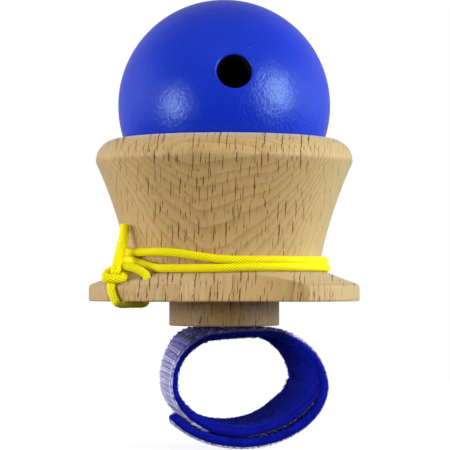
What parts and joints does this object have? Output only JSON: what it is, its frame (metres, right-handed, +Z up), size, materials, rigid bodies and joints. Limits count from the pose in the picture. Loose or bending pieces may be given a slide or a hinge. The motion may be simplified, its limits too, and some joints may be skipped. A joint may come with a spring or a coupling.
{
  "type": "cup and ball toy",
  "caption": "Turned wooden cup and painted ball on a wound cord, with a hook-and-loop strap under the base that holds the toy on a finger.",
  "frame": {"origin": "on the turning axis, at mid-height of the strap's finger opening", "axes": "+Z up along the turning axis, +Y along the finger, away from the open mouth of the ball's bore"},
  "size_m": [0.0636, 0.0625, 0.1041],
  "materials": {
    "beech": "oiled turned beech with dark ray flecks",
    "blue_paint": "satin gloss blue paint on wood",
    "bead_wood": "plain turned wood",
    "yellow_cord": "braided synthetic cord",
    "strap_hook": "clear moulded hooks on a thin backing",
    "strap_pile": "looped nylon pile",
    "steel": "zinc-plated"
  },
  "bodies": {
    "strap": {"strap_hook_loop": "strap_hook", "strap_pile_loop": "strap_pile"},
    "strap_tail": {"strap_hook_tail": "strap_hook", "strap_pile_tail": "strap_pile"},
    "cup": {"cup_base": "beech", "strap_screw": "steel", "strap_washer": "steel", "cord_winding": "yellow_cord", "cord_anchor_loop": "yellow_cord", "cord_tail": "yellow_cord", "anchor_knot": "yellow_cord", "cord_lead": "yellow_cord"},
    "cord_stop": {"stop_bead": "bead_wood", "ball_knot": "yellow_cord", "cord_ball_run": "yellow_cord"},
    "ball": {"ball": "blue_paint"}
  },
  "joints": [
    {"name": "strap_swivel", "type": "hinge", "parent": "strap", "child": "cup", "pos_m": [0, 0, 0.0123], "axis": [0, 0, 1], "continuous": true},
    {"name": "strap_peel", "type": "hinge", "parent": "strap", "child": "strap_tail", "pos_m": [0.01857, 0, -0.00882], "axis": [0, -1, 0], "range_deg": [0, 100]},
    {"name": "ball_lift", "type": "slide", "parent": "cup", "child": "cord_stop", "axis": [0, 0, 1], "range_m": [0, 0.045], "deforming": ["cord_lead"]},
    {"name": "ball_spin", "type": "hinge", "parent": "cord_stop", "child": "ball", "pos_m": [0, 0, 0.0642], "axis": [-0.1768, -0.954, 0.2419], "continuous": true}
  ]
}
